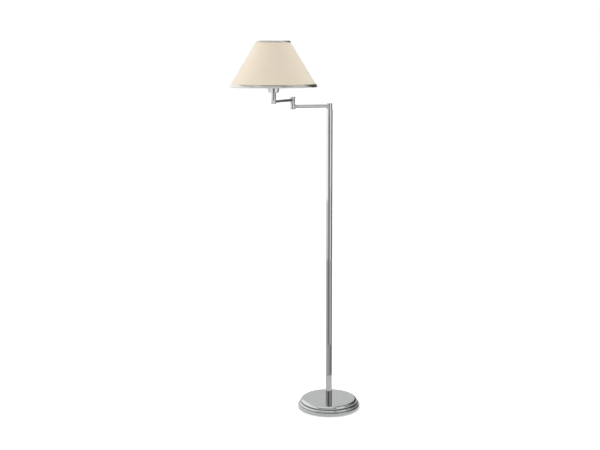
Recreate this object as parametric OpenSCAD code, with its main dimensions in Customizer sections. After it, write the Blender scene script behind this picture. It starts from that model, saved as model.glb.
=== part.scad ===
// Bridge floor lamp: a weighted round foot, a plain tube pole, two swinging arms
// and a lampholder that carries a coolie shade on a wire carrier.
// Millimetres, +Z up. The origin is on the floor, in the middle of the foot's underside.
// At rest the first arm points along -X and the second arm turns off it at the elbow.

/* [Foot] */
// Outside diameter of the foot
foot_d = 250; // [230:1:320]
// Height of the foot's flat top above the floor
foot_h = 37.5; // [34:0.5:42]
// Thickness of the spun sheet
sheet_t = 1.5; // [1:0.1:2]
// Height of the sheet's lower edge above the floor
edge_gap = 3; // [2:0.1:3.5]
// Height of the straight band at the bottom of the sheet
band_h = 11; // [10.5:0.1:12]
// Rounding of the band's upper edge
band_round = 2; // [1:0.1:3]
// Height of the bead round the flat top
bead_h = 12; // [12:0.1:13]
// Rounding of the bead's upper edge
bead_round = 9.5; // [7:0.5:9.5]
// Rounding of the bead's lower edge
bead_under_r = 2; // [1.8:0.1:2.3]
// How far the bead stands back from the band
bead_inset = 11; // [9:0.5:13]
// Width of the groove under the bead
groove_w = 1.5; // [0.8:0.1:2]
// Depth of the groove under the bead
groove_depth = 6; // [4:0.5:7]
// Radius of the rounded tier under the groove
tier_r = 5.5; // [5:0.1:6]
// How far the tier stands back from the band
tier_inset = 4.5; // [3:0.5:6]

/* [Foot inside] */
// Thickness of the cast weight
weight_t = 22; // [19:0.5:23]
// Gap between the weight and the sheet round it
weight_gap = 2; // [1:0.1:4]
// Thickness of the weight's web, where the nipple goes through
web_t = 9.5; // [7:0.5:10]
// Diameter of the recess under that web
recess_d = 44; // [38:1:56]
// Thickness of the felt pad
pad_t = 4; // [3.5:0.1:4.5]
// How far the felt pad stands back from the closing plate
pad_inset = 8; // [7:0.5:14]
// Thickness of the closing plate
plate_t = 2; // [1.5:0.1:2.5]
// Gap between the closing plate and the sheet
plate_gap = 0.5; // [0.3:0.1:1.5]
// Radius of the circle that the plate's screws stand on
boss_ring_r = 75; // [60:1:90]
// Diameter of the weight's screw bosses
boss_d = 16; // [12:0.5:20]
// Diameter of the plate's screws
plate_screw_d = 4; // [3:0.5:5]
// Length of the plate's screws under their heads
plate_screw_l = 14; // [10:0.5:18]
// Bore of the cable grommet
grommet_bore = 6.4; // [5:0.1:6.8]
// Wall of the grommet where it passes the sheet
grommet_wall = 1; // [0.8:0.1:1.2]
// How far the grommet's flanges stand out round its hole
grommet_lip = 1; // [0.8:0.1:1.2]
// Thickness of the grommet's flanges
grommet_flange_t = 1.2; // [1:0.1:2]
// Distance of the terminal block from the lamp's axis
block_y = 62; // [50:1:75]
// Width of the terminal block
block_w = 24; // [18:1:30]
// Depth of the terminal block
block_l = 16; // [12:1:20]
// Height of the terminal block
block_h = 10.5; // [9.5:0.1:11.5]

/* [Pole] */
// Outside diameter of the pole
pole_d = 25; // [24:0.5:30]
// Wall of the pole
pole_wall = 1.2; // [0.8:0.1:2]
// Height of the pole's top face above the floor
pole_top = 1214.5; // [900:0.5:1500]
// Length of the plug in the pole's foot
foot_plug_l = 30; // [25:1:60]
// Length of the head's spigot inside the pole
head_plug_l = 28; // [20:1:50]
// Height of the head's flange on the pole's end
head_flange_h = 2; // [1.5:0.1:4]

/* [Pole knuckle] */
// Diameter of the knuckle
knuckle_d = 22; // [20.5:0.5:24]
// Height of the knuckle with its cap
knuckle_h = 21; // [20.5:0.5:26]
// Diameter of the cavity in the knuckle
knuckle_cavity_d = 17; // [16.5:0.1:17.5]
// Diameter of the pole pivot
pole_pivot_d = 12; // [10.5:0.1:12.5]
// Bore of the pole pivot
pole_pivot_bore = 7; // [6:0.1:8]
// Height of the knuckle's floor, where it turns on the pivot
knuckle_floor_t = 4; // [3.5:0.1:4.5]

/* [Elbow] */
// Diameter of the elbow's two barrels
elbow_d = 20; // [19.5:0.1:21]
// Height of the elbow's lower barrel
elbow_lower_h = 22.5; // [21:0.5:26]
// Height of the elbow's upper barrel
elbow_upper_h = 24.5; // [22:0.5:27]
// Diameter of the cavity in each elbow barrel
elbow_cavity_d = 14; // [13.5:0.1:15]
// Diameter of the elbow spindle
spindle_d = 9; // [8:0.1:10]
// Bore of the elbow spindle
spindle_bore = 5.6; // [5.2:0.1:6]
// Height of the upper barrel's floor, where it turns on the spindle
elbow_floor_t = 4.5; // [3.5:0.1:5]

/* [Arms] */
// Length of the first arm, from the pole's axis to the elbow's axis
arm_1_l = 150; // [120:1:260]
// Length of the second arm, from the elbow's axis to the shade's axis
arm_2_l = 150; // [120:1:260]
// Turn of the second arm from a straight line, at rest
arm_2_turn = 45; // [0:1:90]
// Diameter of the first arm
arm_1_d = 14; // [12:0.1:14.3]
// Diameter of the second arm
arm_2_d = 11.4; // [10:0.1:12]
// Wall of both arms
arm_wall = 1.2; // [0.8:0.1:1.5]
// Radius of the hollow flare on the first arm's saddles
saddle_1_r = 2.5; // [1.5:0.1:2.6]
// Radius of the hollow flare on the second arm's saddles
saddle_2_r = 2; // [1.2:0.1:2.1]
// Swing of each arm, to each side of straight
swing = 165; // [120:1:166]

/* [Lamp post] */
// Diameter of the post under the lampholder
post_d = 18.5; // [17.5:0.1:20]
// Height of the barrel that takes the second arm
post_barrel_h = 20; // [20:0.5:26]
// Height of the riser on that barrel
riser_h = 23.3; // [10:0.1:40]
// Diameter of the cavity in the post's barrel
post_cavity_d = 12; // [11:0.1:12.5]

/* [Lampholder] */
// Diameter of the cup's flat bottom
cup_bottom_d = 36.5; // [34:0.5:38]
// Diameter of the cup's rim
cup_top_d = 47; // [45:0.5:48]
// Height of the cup
cup_h = 22; // [18:0.5:30]
// Sheet of the cup
cup_t = 0.8; // [0.5:0.1:1.2]
// Gap between the cup and the holder's body inside it
cup_gap = 0.4; // [0.3:0.1:0.8]
// Outside diameter of the holder's skirt
skirt_d = 39; // [38:0.1:40]
// Bore of the holder's skirt
skirt_bore = 31; // [30.6:0.1:32]
// Height of the holder's skirt
skirt_h = 36; // [34:0.5:40]
// Height of the skirt's shoulder above its lower end
shoulder_z = 13; // [8:0.5:14]
// Diameter of that shoulder
shoulder_d = 46; // [44:0.5:48]
// Thickness of that shoulder
shoulder_t = 3; // [2:0.1:4]
// Outside diameter of the shade ring
ring_d = 52; // [50:0.5:56]
// Height of the shade ring
ring_h = 7; // [5:0.5:8]

/* [Shade] */
// Diameter of the shade's lower edge
shade_bottom_d = 325; // [280:1:380]
// Diameter of the shade's upper edge
shade_top_d = 122; // [110:1:160]
// Height of the shade
shade_h = 166.5; // [150:0.5:220]
// Height of the shade's lower edge above the cup's flat bottom
shade_lift = 21.5; // [12:0.5:30]
// Thickness of the cloth
cloth_t = 0.4; // [0.3:0.1:0.6]
// Thickness of the laminate behind the cloth
liner_t = 0.6; // [0.5:0.1:1]
// Wire of the shade's two rings and its spokes
wire_d = 3.5; // [2.5:0.1:4]
// How deep the wires bed into the laminate
wire_bed = 0.1; // [0.05:0.01:0.2]
// Sheet of the two trims
trim_t = 0.6; // [0.4:0.1:0.8]
// How far the trims bulge out
trim_bulge = 1.2; // [0.5:0.1:1.5]
// Flat rim of the trims on each side of the bulge
trim_rim = 0.3; // [0.2:0.1:0.6]
// Height of the lower trim along the slant
lower_trim_h = 11; // [8:0.5:14]
// Height of the upper trim along the slant
upper_trim_h = 7.5; // [5:0.5:10]
// Height of the trims' inside leg along the slant
trim_inside_h = 4; // [3:0.5:6]
// Height of the carrier's ring
carrier_t = 2; // [1.5:0.1:3]
// Width of the carrier's ring
carrier_w = 4; // [3:0.5:5]

/* [Bulb] */
// Diameter of the bulb's globe
globe_d = 60; // [45:1:60]
// Height of the bulb above its cap
globe_h = 80; // [76:1:86]
// Wall of the globe
globe_wall = 1; // [0.6:0.1:1.5]
// Diameter of the bulb's screw cap
cap_d = 26.4; // [26:0.1:26.6]

/* [Wiring and fits] */
// Diameter of the twin flex inside the lamp
flex_d = 4; // [3.5:0.1:4.4]
// Diameter of the threaded nipples
nipple_d = 10; // [9:0.1:10.5]
// Bore of the threaded nipples
nipple_bore = 7; // [6:0.1:7.5]
// Thickness of the nylon washers at the pole and the elbow
glide_t = 1; // [0.8:0.1:2]
// Gap round a turning pivot
running_gap = 0.05; // [0.02:0.01:0.09]
// Gap along a turning pivot
end_play = 0.1; // [0.05:0.01:0.2]
// Gap round a part that only passes through
pass_gap = 0.2; // [0.1:0.05:0.4]
// Diameter of the stop pin at the pole
pole_stop_d = 2; // [1.5:0.1:2]
// Diameter of the stop pin in the elbow
elbow_stop_d = 1.6; // [1.2:0.1:1.6]
// Chamfer on the turned parts
chamfer = 0.6; // [0.3:0.1:0.8]

/* [Hidden] */
$fn = 96;
cut = 1;          // how far a cutting shape runs past what it cuts
hex = 6;          // sides of a nut

// foot, outside
foot_r = foot_d / 2;
bead_out = foot_r - bead_inset;
bead_low = foot_h - bead_h;
bead_c = [bead_out - bead_round, foot_h - bead_round];
under_c = [bead_out - bead_under_r, bead_low + bead_under_r];
bead_side = bead_c[1] - under_c[1];
groove_r = bead_out - groove_depth;
tier_top = bead_low - groove_w;
tier_c = [foot_r - tier_inset - tier_r, tier_top - tier_r];
band_top = edge_gap + band_h;
inner_r = foot_r - sheet_t;
neck_r = groove_r - sheet_t;
// foot, inside
weight_top = foot_h - sheet_t;
weight_z = weight_top - weight_t;
weight_r = neck_r - weight_gap;
recess_top = weight_top - web_t;
plate_top = pad_t + plate_t;
plate_r = inner_r - plate_gap;
pad_r = plate_r - pad_inset;
boss_turns = [30, 150, 270];
plate_hole_d = plate_screw_d + 2 * pass_gap;
plate_head_d = 2 * plate_screw_d;
plate_head_h = 0.6 * plate_screw_d;
pad_hole_gap = 1;   // between a screw head and its hole in the pad
pad_hole_d = plate_head_d + 2 * pad_hole_gap;
// foot washer, nut and nipple
foot_washer_d = 3 * nipple_d;
foot_washer_t = 2;
foot_nut_d = 1.7 * nipple_d;
foot_nut_h = 5;
foot_nut_z = recess_top - foot_washer_t - foot_nut_h;
nipple_end = 1.5;
foot_nipple_z = foot_nut_z - nipple_end;
foot_nipple_top = foot_h + foot_plug_l - nipple_end;
// cable inlet
grommet_z = edge_gap + band_h / 2;
grommet_hole_d = grommet_bore + 2 * grommet_wall;
grommet_flange_d = grommet_hole_d + 2 * grommet_lip;
notch_gap = 2;      // between the grommet and its notch in the closing plate
// terminal block
block_up = 0.5;     // between the closing plate and the block
block_gap = 1;      // between the block and its pocket in the weight
block_z = plate_top + block_up;
block_top = block_z + block_h;
block_sink = 3;     // how deep the screw's seat lies in the block
block_screw_d = 3;
block_screw_hold = 9;
block_screw_z = block_z + block_sink;
block_screw_top = block_top + block_screw_hold;
block_screw_head_d = 5.5;
block_screw_head_h = 2;
// pole
pole_bore = pole_d - 2 * pole_wall;
pole_end = pole_top - head_flange_h;
head_z = pole_end - head_plug_l;
// pole knuckle
glide_z = pole_top;
knuckle_z = glide_z + glide_t + end_play;
knuckle_top = knuckle_z + knuckle_h;
arm_1_z = knuckle_z + knuckle_h / 2;
cap_t = 1.5;
cap_spigot = 2;
knuckle_floor = knuckle_z + knuckle_floor_t;
pole_nut_h = 2.4;
pole_nut_z = knuckle_floor + end_play;
pole_pivot_top = pole_nut_z + pole_nut_h;
pole_nut_d = knuckle_cavity_d - 1;
pole_stop_ring_r = (pole_pivot_d / 2 + knuckle_d / 2) / 2;
pole_stop_up = 2;
stop_gap = 0.3;     // between a stop pin and its groove's sides
stop_spare = 1;     // degrees between a stop pin and its groove's end at full swing
// elbow
elbow_lower_z = arm_1_z - elbow_lower_h / 2;
elbow_lower_top = elbow_lower_z + elbow_lower_h;
elbow_upper_z = elbow_lower_top + glide_t + end_play;
elbow_upper_top = elbow_upper_z + elbow_upper_h;
arm_2_z = elbow_upper_z + elbow_upper_h / 2;
elbow_floor = elbow_upper_z + elbow_floor_t;
elbow_nut_h = 2;
elbow_nut_z = elbow_floor + end_play;
elbow_nut_d = elbow_cavity_d - 1;
spindle_top = elbow_nut_z + elbow_nut_h;
elbow_stop_ring_r = (spindle_d / 2 + elbow_d / 2) / 2;
elbow_stop_up = 1.8;
// arms
arm_1_bore = arm_1_d - 2 * arm_wall;
arm_2_bore = arm_2_d - 2 * arm_wall;
seat_ledge = 0.5; // how far each arm's tube stops short of a barrel's cavity
lamp_x = -arm_1_l - arm_2_l * cos(arm_2_turn);
lamp_y = -arm_2_l * sin(arm_2_turn);
// bends of the flex: it leaves each pivot on the axis and lies on the arm's axis
bend_pole = arm_1_z - pole_pivot_top;
bend_elbow_in = 5;
spindle_z = arm_1_z + bend_elbow_in;
bend_elbow_out = arm_2_z - spindle_top;
bend_post = 5;
bend_foot = 7;
foot_flex_up = 1;   // between the closing plate and the flex
foot_flex_z = plate_top + foot_flex_up + flex_d / 2;
bush_l = 7;
// post
post_z = arm_2_z - post_barrel_h / 2;
post_top = post_z + post_barrel_h;
post_nipple_z = arm_2_z + bend_post;
cup_z = post_top + riser_h;
// lampholder
cup_top = cup_z + cup_h;
cup_flare = (cup_top_d - cup_bottom_d) / (2 * cup_h);
holder_z = cup_z + cup_t;
skirt_up = 2;       // the holder's brim, between the cup's rim and the skirt
skirt_z = cup_top + skirt_up;
skirt_top = skirt_z + skirt_h;
shoulder_bottom = skirt_z + shoulder_z;
shoulder_top = shoulder_bottom + shoulder_t;
holder_floor_t = 6;
post_nipple_top = holder_z + holder_floor_t;
insert_t = 6;
insert_z = skirt_z;
insert_top = insert_z + insert_t;
screw_shell_t = 0.5;
screw_shell_d = cap_d + 2 * screw_shell_t;
screw_shell_h = 22;
contact_d = 7;
contact_h = 2;
bulb_contact_d = 9;
bulb_contact_h = 3;
cap_z = insert_top + contact_h + bulb_contact_h;
cap_h = 26;
cap_top = cap_z + cap_h;
// shade
shade_z = cup_z + shade_lift;
shade_drop = (shade_bottom_d - shade_top_d) / 2;
slant = atan(shade_drop / shade_h);
slant_l = sqrt(shade_drop * shade_drop + shade_h * shade_h);
sheets_t = cloth_t + liner_t;
carrier_bore = skirt_d + 2 * pass_gap;
carrier_d = carrier_bore + 2 * carrier_w;
carrier_z = shoulder_top;
ring_z = carrier_z + carrier_t;
wire_r = wire_d / 2;
lower_wire_up = trim_inside_h + wire_r;
wire_in = sheets_t + wire_r - wire_bed;
lower_wire_ring_r = shade_bottom_d / 2 - lower_wire_up * sin(slant) - wire_in * cos(slant);
lower_wire_z = shade_z + lower_wire_up * cos(slant) - wire_in * sin(slant);
spoke_turns = [30, 150, 270];
spoke_from_r = (carrier_bore + carrier_w) / 2;
spoke_from_z = carrier_z + carrier_t / 2;

// ---- shapes used more than once ----

// A straight round bar between two heights.
module bar(d, z0, z1) {
    translate([0, 0, z0])
        cylinder(d = d, h = z1 - z0);
}

// A round bar with a hole right through it.
module tube(d, bore, z0, z1) {
    difference() {
        bar(d, z0, z1);
        bar(bore, z0 - cut, z1 + cut);
    }
}

// A turned bar with chamfered ends, either of which may stay sharp.
module turned(d, z0, z1, low = true, high = true) {
    r = d / 2;
    c0 = low ? chamfer : 0;
    c1 = high ? chamfer : 0;
    rotate_extrude()
        polygon([
            [0, z0], [r - c0, z0], [r, z0 + c0],
            [r, z1 - c1], [r - c1, z1], [0, z1]
        ]);
}

// A flat cap on a barrel's end with a spigot in its cavity: turn is 0 on top and 180 below.
module end_cap(d, spigot_d, face_z, turn) {
    translate([0, 0, face_z])
        rotate([turn, 0, 0]) {
            turned(d, 0, cap_t, low = false);
            bar(spigot_d, -cap_spigot, cap_t / 2);
        }
}

// The places: each of these puts its children in one joint's or one tube's own frame.
module at_elbow() {
    translate([-arm_1_l, 0, 0])
        children();
}

module at_elbow_turned() {
    at_elbow()
        rotate([0, 0, arm_2_turn])
            children();
}

module at_lamp() {
    translate([lamp_x, lamp_y, 0])
        children();
}

// Z runs out along the first arm from the pole's axis.
module on_arm_1() {
    translate([0, 0, arm_1_z])
        rotate([0, -90, 0])
            children();
}

// Z runs out along the second arm from the elbow's axis.
module on_arm_2() {
    at_elbow_turned()
        translate([0, 0, arm_2_z])
            rotate([0, -90, 0])
                children();
}

// What a barrel loses to the arm: the tube's seat, which stops short of the cavity, and the
// flex's way. Z runs away from the barrel's axis.
module arm_seat(arm_d, bore, cavity_d, barrel_d) {
    bar(arm_d, cavity_d / 2 + seat_ledge, barrel_d);
    bar(bore, 0, barrel_d);
}

// A saddle: a collar round the arm that follows the barrel and runs out in a hollow flare.
// Z runs away from the barrel's axis, and the barrel stands across it, along X.
module saddle(arm_d, flare_r, barrel_d) {
    arm_r = arm_d / 2;
    difference() {
        rotate_extrude()
            difference() {
                translate([arm_r, 0])
                    square([flare_r, barrel_d / 2 + flare_r]);
                translate([arm_r + flare_r, barrel_d / 2 + flare_r])
                    circle(r = flare_r);
            }
        rotate([0, 90, 0])
            bar(barrel_d, -barrel_d, barrel_d);
    }
}

// A quarter turn of the flex: it starts upright on the axis and ends level, along -X.
module flex_bend(bend_r) {
    translate([-bend_r, 0, 0])
        rotate([90, 0, 0])
            rotate_extrude(angle = 90)
                translate([bend_r, 0])
                    circle(d = flex_d);
}

// The blind groove that a stop pin runs in, in the underside of the part that turns.
// It spans the swing to each side of the side that faces away from the arm.
module stop_groove(ring_r, pin_d, z0, depth) {
    pin_turn = asin(pin_d / 2 / ring_r);
    half = swing + pin_turn + stop_spare;
    way_w = pin_d + 2 * stop_gap;
    rotate([0, 0, -half])
        translate([0, 0, z0 - cut])
            rotate_extrude(angle = 2 * half)
                translate([ring_r - way_w / 2, 0])
                    square([way_w, depth + cut]);
}

// A flat ring nut with two spanner slots.
module ring_nut(d, bore, z0, h) {
    slot_w = 1.6;
    difference() {
        tube(d, bore, z0, z0 + h);
        translate([-d, -slot_w / 2, z0 + h - slot_w / 2])
            cube([2 * d, slot_w, slot_w]);
    }
}

// The slanting sheet of the shade: X runs up the slant from the lower edge, Y runs inwards.
module on_slant() {
    translate([shade_bottom_d / 2, shade_z])
        rotate(90 + slant)
            children();
}

// A wire ring against the shade's inside, at a height along the slant.
module wire_section(up) {
    on_slant()
        translate([up, wire_in])
            circle(d = wire_d);
}

// A trim folded over an edge of the sheet, with a face that bulges between two narrow flat rims.
// It stands on X = 0 and goes up X.
module trim_section(face_h) {
    chord = face_h - 2 * trim_rim;
    bulge_r = (chord * chord / 4 + trim_bulge * trim_bulge) / (2 * trim_bulge);
    translate([-trim_t, -trim_t])
        square([trim_t, sheets_t + 2 * trim_t]);
    translate([0, -trim_t])
        square([face_h, trim_t]);
    translate([0, sheets_t])
        square([trim_inside_h, trim_t]);
    intersection() {
        translate([0, -trim_t - 2 * trim_bulge])
            square([face_h, 2 * trim_bulge + trim_t / 2]);
        translate([face_h / 2, bulge_r - trim_bulge - trim_t])
            circle(r = bulge_r);
    }
}

// ---- foot ----

// The foot's outline, filled down to the sheet's lower edge.
module foot_outline() {
    translate([0, edge_gap])
        square([foot_r, band_h - band_round]);
    translate([0, edge_gap])
        square([foot_r - band_round, band_h]);
    translate([foot_r - band_round, band_top - band_round])
        circle(r = band_round);
    translate([0, edge_gap])
        square([tier_c[0], tier_top - edge_gap]);
    translate(tier_c)
        circle(r = tier_r);
    translate([0, edge_gap])
        square([groove_r, bead_low - edge_gap + cut]);
    bead_outline(0);
}

// The bead's outline over the groove, drawn in by a depth.
module bead_outline(depth) {
    translate([0, bead_low + depth])
        square([under_c[0], bead_under_r]);
    translate(under_c)
        circle(r = bead_under_r - depth);
    translate([0, under_c[1]])
        square([bead_out - depth, bead_side]);
    intersection() {
        translate(bead_c)
            circle(r = bead_round - depth);
        translate([0, under_c[1]])
            square([foot_r, foot_h - under_c[1]]);
    }
    translate([0, under_c[1]])
        square([bead_c[0], foot_h - under_c[1] - depth]);
}

// The same outline drawn in by the sheet, and open below.
module foot_hollow() {
    square([inner_r, band_top - band_round]);
    square([inner_r - band_round, band_top - sheet_t]);
    square([tier_c[0], tier_top - sheet_t]);
    translate(tier_c)
        circle(r = tier_r - sheet_t);
    square([neck_r, bead_low + sheet_t + cut]);
    bead_outline(sheet_t);
    translate([0, -cut])
        square([inner_r, edge_gap + 2 * cut]);
}

module foot_cover() {
    color("silver")
        difference() {
            rotate_extrude()
                difference() {
                    foot_outline();
                    foot_hollow();
                }
            bar(nipple_d + 2 * pass_gap, foot_h - 2 * sheet_t, foot_h + cut);
            translate([0, 0, grommet_z])
                rotate([-90, 0, 0])
                    bar(grommet_hole_d, inner_r - 2 * grommet_flange_t, foot_r + cut);
        }
}

module foot_weight() {
    color("dimgray")
        difference() {
            union() {
                bar(2 * weight_r, weight_z, weight_top);
                for (turn = boss_turns)
                    rotate([0, 0, turn])
                        translate([boss_ring_r, 0, 0])
                            bar(boss_d, plate_top, weight_z + cut);
            }
            bar(recess_d, 0, recess_top);
            bar(nipple_d + 2 * pass_gap, 0, foot_h);
            for (turn = boss_turns)
                rotate([0, 0, turn])
                    translate([boss_ring_r, 0, 0])
                        bar(plate_screw_d, 0, pad_t + plate_screw_l + cut);
            translate([-block_w / 2 - block_gap, block_y - block_l / 2 - block_gap, 0])
                cube([block_w + 2 * block_gap, block_l + 2 * block_gap, block_top]);
            translate([0, block_y, 0])
                bar(block_screw_d, 0, block_screw_top + cut);
        }
}

module felt_pad() {
    color("darkslategray")
        difference() {
            bar(2 * pad_r, 0, pad_t);
            for (turn = boss_turns)
                rotate([0, 0, turn])
                    translate([boss_ring_r, 0, 0])
                        bar(pad_hole_d, -cut, pad_t + cut);
        }
}

module closing_plate() {
    notch_w = grommet_flange_d + 2 * notch_gap;
    color("black")
        difference() {
            bar(2 * plate_r, pad_t, plate_top);
            for (turn = boss_turns)
                rotate([0, 0, turn])
                    translate([boss_ring_r, 0, 0])
                        bar(plate_hole_d, pad_t - cut, plate_top + cut);
            translate([-notch_w / 2, inner_r - 2 * grommet_flange_t - plate_gap, pad_t - cut])
                cube([notch_w, notch_w, plate_t + 2 * cut]);
        }
}

module plate_screws() {
    slot_w = 1;
    color("lightgray")
        for (turn = boss_turns)
            rotate([0, 0, turn])
                translate([boss_ring_r, 0, 0])
                    difference() {
                        union() {
                            bar(plate_head_d, pad_t - plate_head_h, pad_t);
                            bar(plate_screw_d, pad_t, pad_t + plate_screw_l);
                        }
                        translate([-plate_head_d, -slot_w / 2, pad_t - plate_head_h - cut])
                            cube([2 * plate_head_d, slot_w, cut + plate_head_h / 2]);
                    }
}

// The flanges follow the round of the sheet, and the inner one ends under the band's corner.
module cable_grommet() {
    color([0.08, 0.08, 0.08])
        difference() {
            union() {
                intersection() {
                    translate([0, 0, grommet_z])
                        rotate([-90, 0, 0])
                            bar(grommet_flange_d, inner_r - grommet_flange_t, foot_r);
                    bar(2 * inner_r, 0, band_top - band_round);
                }
                translate([0, 0, grommet_z])
                    rotate([-90, 0, 0])
                        bar(grommet_hole_d, inner_r - grommet_flange_t, foot_r + grommet_flange_t);
                difference() {
                    translate([0, 0, grommet_z])
                        rotate([-90, 0, 0])
                            bar(grommet_flange_d, foot_r - cut, foot_r + grommet_flange_t);
                    bar(foot_d, 0, foot_h);
                }
            }
            translate([0, 0, grommet_z])
                rotate([-90, 0, 0])
                    bar(grommet_bore, inner_r - 2 * grommet_flange_t, foot_r + 2 * grommet_flange_t);
        }
}

module foot_nipple() {
    color("goldenrod")
        tube(nipple_d, nipple_bore, foot_nipple_z, foot_nipple_top);
}

module foot_washer() {
    color("lightgray")
        tube(foot_washer_d, nipple_d + 2 * pass_gap, recess_top - foot_washer_t, recess_top);
}

module foot_nut() {
    color("lightgray")
        difference() {
            translate([0, 0, foot_nut_z])
                cylinder(d = foot_nut_d, h = foot_nut_h, $fn = hex);
            bar(nipple_d, foot_nut_z - cut, foot_nut_z + foot_nut_h + cut);
        }
}

// Two wire holes face the nipple and two face the cable inlet.
module terminal_block() {
    way_d = 3.2;
    way_x = block_w / 4;
    color("white")
        difference() {
            translate([-block_w / 2, block_y - block_l / 2, block_z])
                cube([block_w, block_l, block_h]);
            translate([0, block_y, 0])
                bar(block_screw_d + 2 * pass_gap, 0, block_top + cut);
            translate([0, block_y, 0])
                bar(block_screw_head_d + 2 * pass_gap, 0, block_screw_z);
            for (side = [-1, 1])
                translate([side * way_x, block_y + block_l, block_z + block_h / 2])
                    rotate([90, 0, 0])
                        cylinder(d = way_d, h = 2 * block_l);
        }
}

module terminal_screw() {
    color("lightgray")
        translate([0, block_y, 0]) {
            bar(block_screw_head_d, block_screw_z - block_screw_head_h, block_screw_z);
            bar(block_screw_d, block_screw_z, block_screw_top);
        }
}

// ---- pole ----

module pole() {
    color("silver")
        tube(pole_d, pole_bore, foot_h, pole_end);
}

module pole_foot_plug() {
    color("goldenrod")
        tube(pole_bore, nipple_d, foot_h, foot_h + foot_plug_l);
}

module pole_head() {
    color("silver")
        difference() {
            union() {
                bar(pole_bore, head_z, pole_end);
                turned(pole_d, pole_end, pole_top, low = false);
            }
            bar(pole_pivot_d, head_z - cut, pole_top + cut);
            translate([pole_stop_ring_r, 0, 0])
                bar(pole_stop_d, pole_top - 2 * pole_stop_up, pole_top + cut);
        }
}

module pole_pivot() {
    color("lightgray")
        tube(pole_pivot_d, pole_pivot_bore, head_z, pole_pivot_top);
}

module pole_glide_washer() {
    color("ivory")
        difference() {
            tube(knuckle_d, pole_pivot_d, glide_z, glide_z + glide_t);
            translate([pole_stop_ring_r, 0, 0])
                bar(pole_stop_d, glide_z - cut, glide_z + glide_t + cut);
        }
}

module pole_ring_nut() {
    color("goldenrod")
        ring_nut(pole_nut_d, pole_pivot_d, pole_nut_z, pole_nut_h);
}

// It stands opposite the first arm, so the arm swings as far to each side.
module pole_stop_pin() {
    color("lightgray")
        translate([pole_stop_ring_r, 0, 0])
            bar(pole_stop_d, pole_top - 2 * pole_stop_up, glide_z + glide_t + pole_stop_up);
}

module pole_bush() {
    color("ivory")
        tube(pole_pivot_bore, flex_d, pole_pivot_top - bush_l, pole_pivot_top);
}

// From the terminal block to the middle of the foot, and up the pole to the pivot's mouth.
module stand_flex() {
    color("whitesmoke") {
        translate([0, bend_foot, foot_flex_z])
            rotate([-90, 0, 0])
                cylinder(d = flex_d, h = block_y - block_l / 2 - bend_foot);
        translate([0, 0, foot_flex_z + bend_foot])
            rotate([180, 0, -90])
                flex_bend(bend_foot);
        bar(flex_d, foot_flex_z + bend_foot, pole_pivot_top);
    }
}

// ---- first arm ----

module pole_knuckle() {
    body_top = knuckle_top - cap_t;
    color("silver")
        difference() {
            turned(knuckle_d, knuckle_z, body_top, high = false);
            bar(pole_pivot_d + 2 * running_gap, knuckle_z - cut, knuckle_floor + cut);
            bar(knuckle_cavity_d, knuckle_floor, body_top + cut);
            on_arm_1()
                arm_seat(arm_1_d, arm_1_bore, knuckle_cavity_d, knuckle_d);
            stop_groove(pole_stop_ring_r, pole_stop_d, knuckle_z, pole_stop_up);
        }
}

module knuckle_cap() {
    color("silver")
        end_cap(knuckle_d, knuckle_cavity_d, knuckle_top - cap_t, 0);
}

module arm_1_tube() {
    color("silver")
        on_arm_1()
            tube(arm_1_d, arm_1_bore, knuckle_cavity_d / 2 + seat_ledge,
                arm_1_l - elbow_cavity_d / 2 - seat_ledge);
}

module arm_1_pole_saddle() {
    color("silver")
        on_arm_1()
            saddle(arm_1_d, saddle_1_r, knuckle_d);
}

module arm_1_elbow_saddle() {
    color("silver")
        on_arm_1()
            translate([0, 0, arm_1_l])
                rotate([180, 0, 0])
                    saddle(arm_1_d, saddle_1_r, elbow_d);
}

// Its roof holds the spindle, and its cavity takes the arm and turns the flex upwards.
module elbow_lower_barrel() {
    body_z = elbow_lower_z + cap_t;
    color("silver")
        difference() {
            at_elbow()
                difference() {
                    turned(elbow_d, body_z, elbow_lower_top, low = false);
                    bar(elbow_cavity_d, body_z - cut, spindle_z);
                    bar(spindle_d, spindle_z - cut, elbow_lower_top + cut);
                    translate([elbow_stop_ring_r, 0, 0])
                        bar(elbow_stop_d, elbow_lower_top - elbow_stop_up, elbow_lower_top + cut);
                }
            on_arm_1()
                translate([0, 0, arm_1_l])
                    rotate([180, 0, 0])
                        arm_seat(arm_1_d, arm_1_bore, elbow_cavity_d, elbow_d);
        }
}

module elbow_lower_cap() {
    color("silver")
        at_elbow()
            end_cap(elbow_d, elbow_cavity_d, elbow_lower_z + cap_t, 180);
}

module elbow_spindle() {
    color("lightgray")
        at_elbow()
            tube(spindle_d, spindle_bore, spindle_z, spindle_top);
}

module elbow_glide_washer() {
    color("ivory")
        at_elbow()
            difference() {
                tube(elbow_d, spindle_d, elbow_lower_top, elbow_lower_top + glide_t);
                translate([elbow_stop_ring_r, 0, 0])
                    bar(elbow_stop_d, elbow_lower_top - cut, elbow_lower_top + glide_t + cut);
            }
}

module elbow_ring_nut() {
    color("goldenrod")
        at_elbow()
            ring_nut(elbow_nut_d, spindle_d, elbow_nut_z, elbow_nut_h);
}

// It stands on the pole's side, so the second arm swings as far to each side of straight.
module elbow_stop_pin() {
    color("lightgray")
        at_elbow()
            translate([elbow_stop_ring_r, 0, 0])
                bar(elbow_stop_d, elbow_lower_top - elbow_stop_up,
                    elbow_lower_top + glide_t + elbow_stop_up);
}

module elbow_bush() {
    color("ivory")
        at_elbow()
            tube(spindle_bore, flex_d, spindle_top - bush_l, spindle_top);
}

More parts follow.
